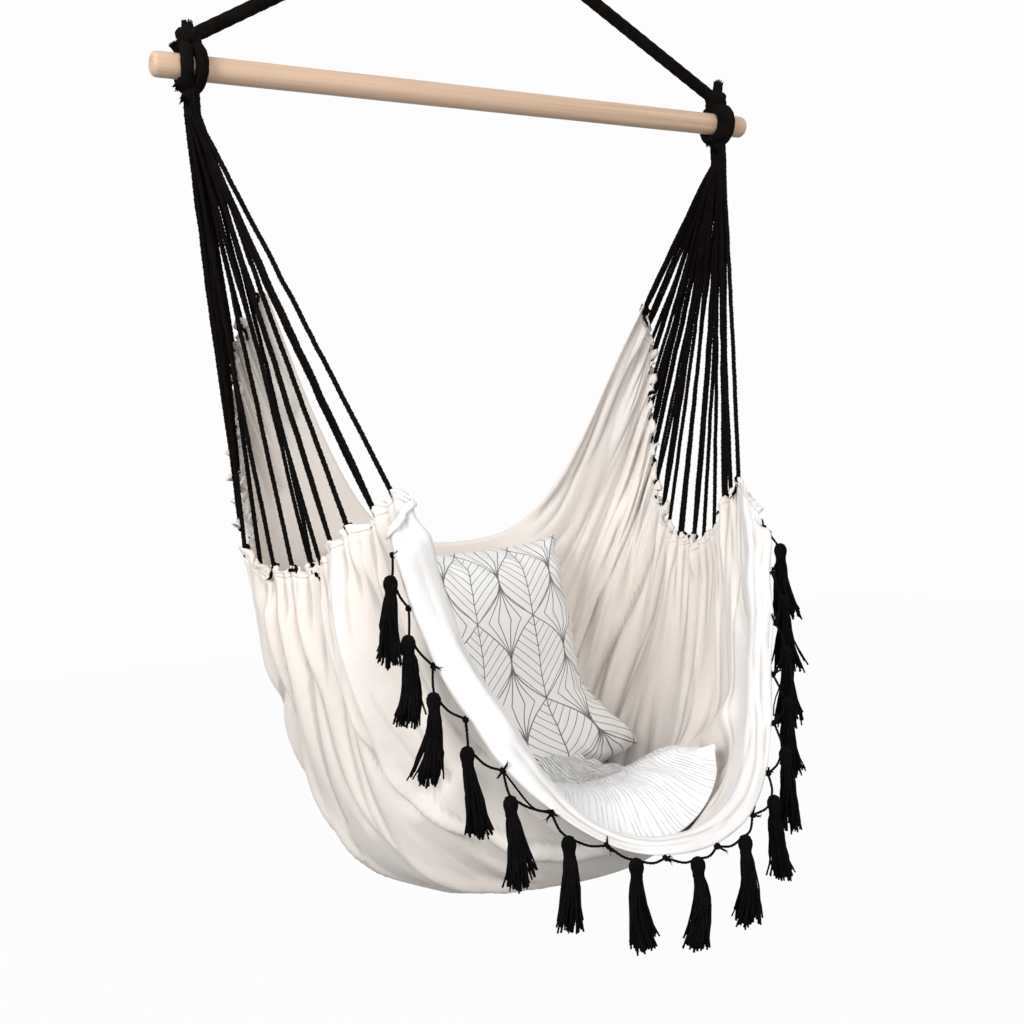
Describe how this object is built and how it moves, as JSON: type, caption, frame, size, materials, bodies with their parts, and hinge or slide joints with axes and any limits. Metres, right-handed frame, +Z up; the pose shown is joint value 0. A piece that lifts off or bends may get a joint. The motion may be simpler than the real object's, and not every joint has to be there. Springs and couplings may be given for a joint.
{
  "type": "hanging hammock chair",
  "caption": "Cotton sling seat hung by fans of cords from a wooden spreader bar on two ropes, with a tasselled front edge, back pillow and seat pad.",
  "frame": {"origin": "where the top of the hang ring bears on the hook that carries the chair", "axes": "+Z up, the sitter faces -Y, +X to the left hand of the sitter, along the spreader bar"},
  "size_m": [0.95, 0.6862, 1.5635],
  "materials": {
    "ring_steel": "zinc-plated steel wire",
    "black_rope": "matte twisted cotton rope",
    "black_cord": "matte braided cord",
    "tassel_yarn": "matte loose yarn",
    "bar_wood": "pale birch, satin, lightly sanded",
    "cream_cotton": "plain woven undyed cotton",
    "printed_cotton": "white cotton with a thin dark line print",
    "white_knit": "ruched white rib knit"
  },
  "bodies": {
    "hanger": {"hang_ring": "ring_steel"},
    "loop": {"hang_loop": "black_rope"},
    "chair": {"top_knot": "black_rope", "left_rope": "black_rope", "right_rope": "black_rope", "spreader_bar": "bar_wood", "left_hitch": "black_rope", "right_hitch": "black_rope", "left_hem_cord": "black_cord", "right_hem_cord": "black_cord", "left_cords_back": "black_cord", "left_cords_middle": "black_cord", "left_cords_front": "black_cord", "right_cords_back": "black_cord", "right_cords_middle": "black_cord", "right_cords_front": "black_cord", "sling": "cream_cotton", "tassel_cord": "black_cord"},
    "pad": {"seat_pad": "white_knit"},
    "pillow": {"back_pillow": "printed_cotton"},
    "tassel_01": {"tassel_01": "tassel_yarn"},
    "tassel_02": {"tassel_02": "tassel_yarn"},
    "tassel_03": {"tassel_03": "tassel_yarn"},
    "tassel_04": {"tassel_04": "tassel_yarn"},
    "tassel_05": {"tassel_05": "tassel_yarn"},
    "tassel_06": {"tassel_06": "tassel_yarn"},
    "tassel_07": {"tassel_07": "tassel_yarn"},
    "tassel_08": {"tassel_08": "tassel_yarn"},
    "tassel_09": {"tassel_09": "tassel_yarn"},
    "tassel_10": {"tassel_10": "tassel_yarn"},
    "tassel_11": {"tassel_11": "tassel_yarn"},
    "tassel_12": {"tassel_12": "tassel_yarn"},
    "tassel_13": {"tassel_13": "tassel_yarn"},
    "tassel_14": {"tassel_14": "tassel_yarn"},
    "tassel_15": {"tassel_15": "tassel_yarn"}
  },
  "joints": [
    {"name": "swing", "type": "hinge", "parent": "hanger", "child": "loop", "pos_m": [0, 0, -0.0445], "axis": [1, 0, 0], "range_deg": [-25, 25]},
    {"name": "twist", "type": "hinge", "parent": "loop", "child": "chair", "pos_m": [0, 0, -0.0965], "axis": [0, 0, 1], "range_deg": [-180, 180], "stiffness_Nm_per_rad": 0.16},
    {"name": "pad_lift", "type": "slide", "parent": "chair", "child": "pad", "axis": [0, -0.4, 0.9165], "range_m": [0, 0.25]},
    {"name": "pillow_lift", "type": "slide", "parent": "pad", "child": "pillow", "axis": [0, -0.35, 0.9367], "range_m": [0, 0.35]},
    {"name": "tassel_01_swing", "type": "hinge", "parent": "chair", "child": "tassel_01", "pos_m": [-0.2925, -0.2629, -1.0755], "axis": [-0.5973, 0.802, 0], "range_deg": [0, 60]},
    {"name": "tassel_02_swing", "type": "hinge", "parent": "chair", "child": "tassel_02", "pos_m": [-0.2807, -0.2785, -1.1456], "axis": [-0.6223, 0.7828, 0], "range_deg": [0, 60]},
    {"name": "tassel_03_swing", "type": "hinge", "parent": "chair", "child": "tassel_03", "pos_m": [-0.2624, -0.3013, -1.2124], "axis": [-0.6604, 0.7509, 0], "range_deg": [0, 60]},
    {"name": "tassel_04_swing", "type": "hinge", "parent": "chair", "child": "tassel_04", "pos_m": [-0.2366, -0.3299, -1.2748], "axis": [-0.7143, 0.6999, 0], "range_deg": [0, 60]},
    {"name": "tassel_05_swing", "type": "hinge", "parent": "chair", "child": "tassel_05", "pos_m": [-0.2011, -0.3633, -1.3313], "axis": [-0.7895, 0.6138, 0], "range_deg": [0, 60]},
    {"name": "tassel_06_swing", "type": "hinge", "parent": "chair", "child": "tassel_06", "pos_m": [-0.1487, -0.4002, -1.3787], "axis": [-0.8815, 0.4721, 0], "range_deg": [0, 60]},
    {"name": "tassel_07_swing", "type": "hinge", "parent": "chair", "child": "tassel_07", "pos_m": [-0.0783, -0.4298, -1.4102], "axis": [-0.9664, 0.2572, 0], "range_deg": [0, 60]},
    {"name": "tassel_08_swing", "type": "hinge", "parent": "chair", "child": "tassel_08", "pos_m": [0, -0.4404, -1.4201], "axis": [-1, 0, 0], "range_deg": [0, 60]},
    {"name": "tassel_09_swing", "type": "hinge", "parent": "chair", "child": "tassel_09", "pos_m": [0.0783, -0.4298, -1.4102], "axis": [-0.9664, -0.2572, 0], "range_deg": [0, 60]},
    {"name": "tassel_10_swing", "type": "hinge", "parent": "chair", "child": "tassel_10", "pos_m": [0.1487, -0.4002, -1.3787], "axis": [-0.8815, -0.4721, 0], "range_deg": [0, 60]},
    {"name": "tassel_11_swing", "type": "hinge", "parent": "chair", "child": "tassel_11", "pos_m": [0.2011, -0.3633, -1.3313], "axis": [-0.7895, -0.6138, 0], "range_deg": [0, 60]},
    {"name": "tassel_12_swing", "type": "hinge", "parent": "chair", "child": "tassel_12", "pos_m": [0.2366, -0.3299, -1.2748], "axis": [-0.7143, -0.6999, 0], "range_deg": [0, 60]},
    {"name": "tassel_13_swing", "type": "hinge", "parent": "chair", "child": "tassel_13", "pos_m": [0.2624, -0.3013, -1.2124], "axis": [-0.6604, -0.7509, 0], "range_deg": [0, 60]},
    {"name": "tassel_14_swing", "type": "hinge", "parent": "chair", "child": "tassel_14", "pos_m": [0.2807, -0.2785, -1.1456], "axis": [-0.6223, -0.7828, 0], "range_deg": [0, 60]},
    {"name": "tassel_15_swing", "type": "hinge", "parent": "chair", "child": "tassel_15", "pos_m": [0.2925, -0.2629, -1.0755], "axis": [-0.5973, -0.802, 0], "range_deg": [0, 60]}
  ]
}
